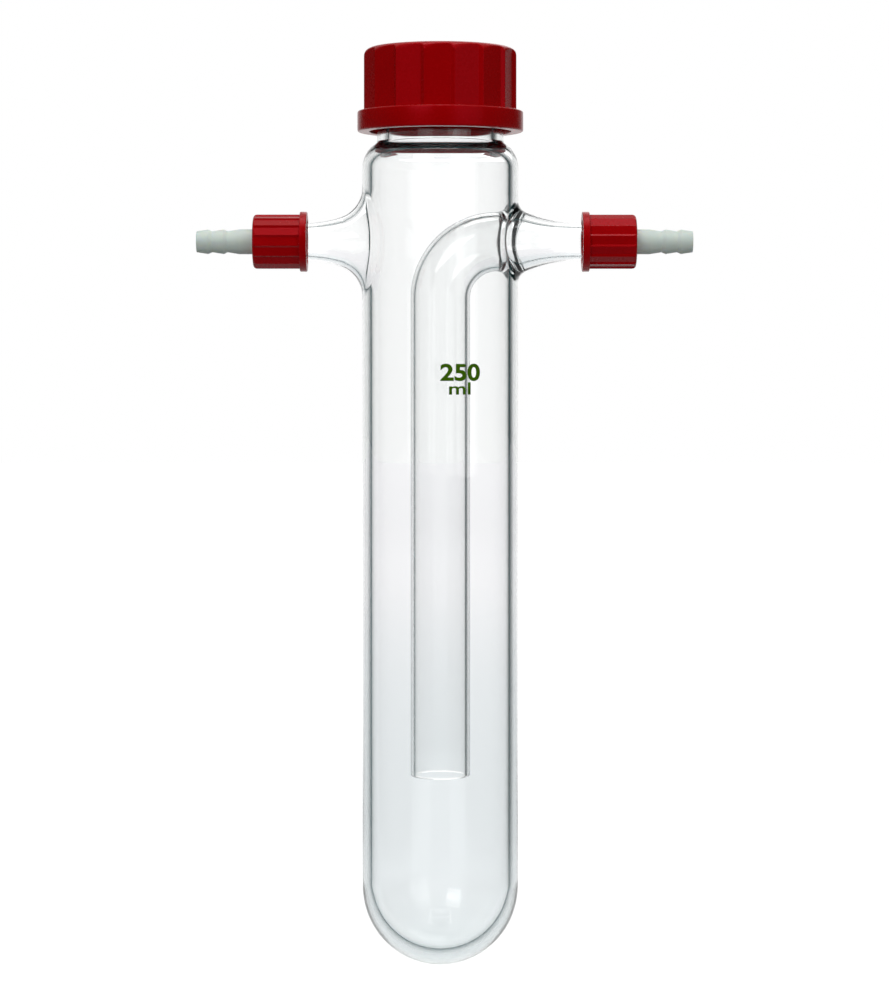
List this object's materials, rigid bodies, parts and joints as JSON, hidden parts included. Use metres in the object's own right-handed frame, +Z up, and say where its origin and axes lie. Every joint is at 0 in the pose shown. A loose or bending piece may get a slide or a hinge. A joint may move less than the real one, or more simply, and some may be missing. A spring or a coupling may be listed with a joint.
{
  "type": "cold trap vessel",
  "caption": "Round-bottomed glass trap with a screw-capped neck, two side arms with barbed hose connectors, and a bent dip tube.",
  "frame": {"origin": "on the vessel's axis at the middle of the clamp zone, 60 mm below the axis of the side arms", "axes": "+Z up along the vessel's axis, +X along the arm that carries the dip tube, front towards -Y"},
  "size_m": [0.1592, 0.0532, 0.2942],
  "materials": {
    "glass": "clear borosilicate, polished",
    "red_plastic": "moulded, satin gloss",
    "white_plastic": "natural moulded polypropylene, satin",
    "silicone": "matt silicone",
    "seal_facing": "smooth fluoropolymer film",
    "green_enamel": "fired enamel, for the capacity mark on the glass"
  },
  "bodies": {
    "glass_body": {"vessel_head": "glass", "vessel_tube": "glass", "round_bottom": "glass", "threaded_neck": "glass", "left_arm": "glass", "right_arm": "glass", "dip_tube": "glass"},
    "seal_body": {"cap_seal": "silicone", "cap_seal_facing": "seal_facing"},
    "cap_body": {"screw_cap": "red_plastic"},
    "left_ring_body": {"left_sealing_ring": "silicone"},
    "left_connector_body": {"left_hose_connector": "white_plastic"},
    "left_cap_body": {"left_cap": "red_plastic"},
    "right_ring_body": {"right_sealing_ring": "silicone"},
    "right_connector_body": {"right_hose_connector": "white_plastic"},
    "right_cap_body": {"right_cap": "red_plastic"}
  },
  "joints": [
    {"name": "cap_rise", "type": "slide", "parent": "glass_body", "child": "seal_body", "axis": [0, 0, 1], "range_m": [0, 0.0241]},
    {"name": "cap_turn", "type": "hinge", "parent": "seal_body", "child": "cap_body", "pos_m": [0, 0, 0.11], "axis": [0, 0, 1], "range_deg": [0, 2160]},
    {"name": "left_cap_rise", "type": "slide", "parent": "glass_body", "child": "left_ring_body", "axis": [-1, 0, 0], "range_m": [0, 0.0151]},
    {"name": "left_cap_turn", "type": "hinge", "parent": "left_ring_body", "child": "left_cap_body", "pos_m": [-0.05, 0, 0.06], "axis": [-1, 0, 0], "range_deg": [0, 2160]},
    {"name": "left_connector_swivel", "type": "hinge", "parent": "left_ring_body", "child": "left_connector_body", "pos_m": [-0.06, 0, 0.06], "axis": [-1, 0, 0], "continuous": true},
    {"name": "right_cap_rise", "type": "slide", "parent": "glass_body", "child": "right_ring_body", "axis": [1, 0, 0], "range_m": [0, 0.0151]},
    {"name": "right_cap_turn", "type": "hinge", "parent": "right_ring_body", "child": "right_cap_body", "pos_m": [0.05, 0, 0.06], "axis": [1, 0, 0], "range_deg": [0, 2160]},
    {"name": "right_connector_swivel", "type": "hinge", "parent": "right_ring_body", "child": "right_connector_body", "pos_m": [0.06, 0, 0.06], "axis": [1, 0, 0], "continuous": true}
  ],
  "couplings": [
    {"joint": "cap_rise", "follows": "cap_turn", "m_per_rad": 0.00063662},
    {"joint": "left_cap_rise", "follows": "left_cap_turn", "m_per_rad": 0.00039789},
    {"joint": "right_cap_rise", "follows": "right_cap_turn", "m_per_rad": 0.00039789}
  ]
}
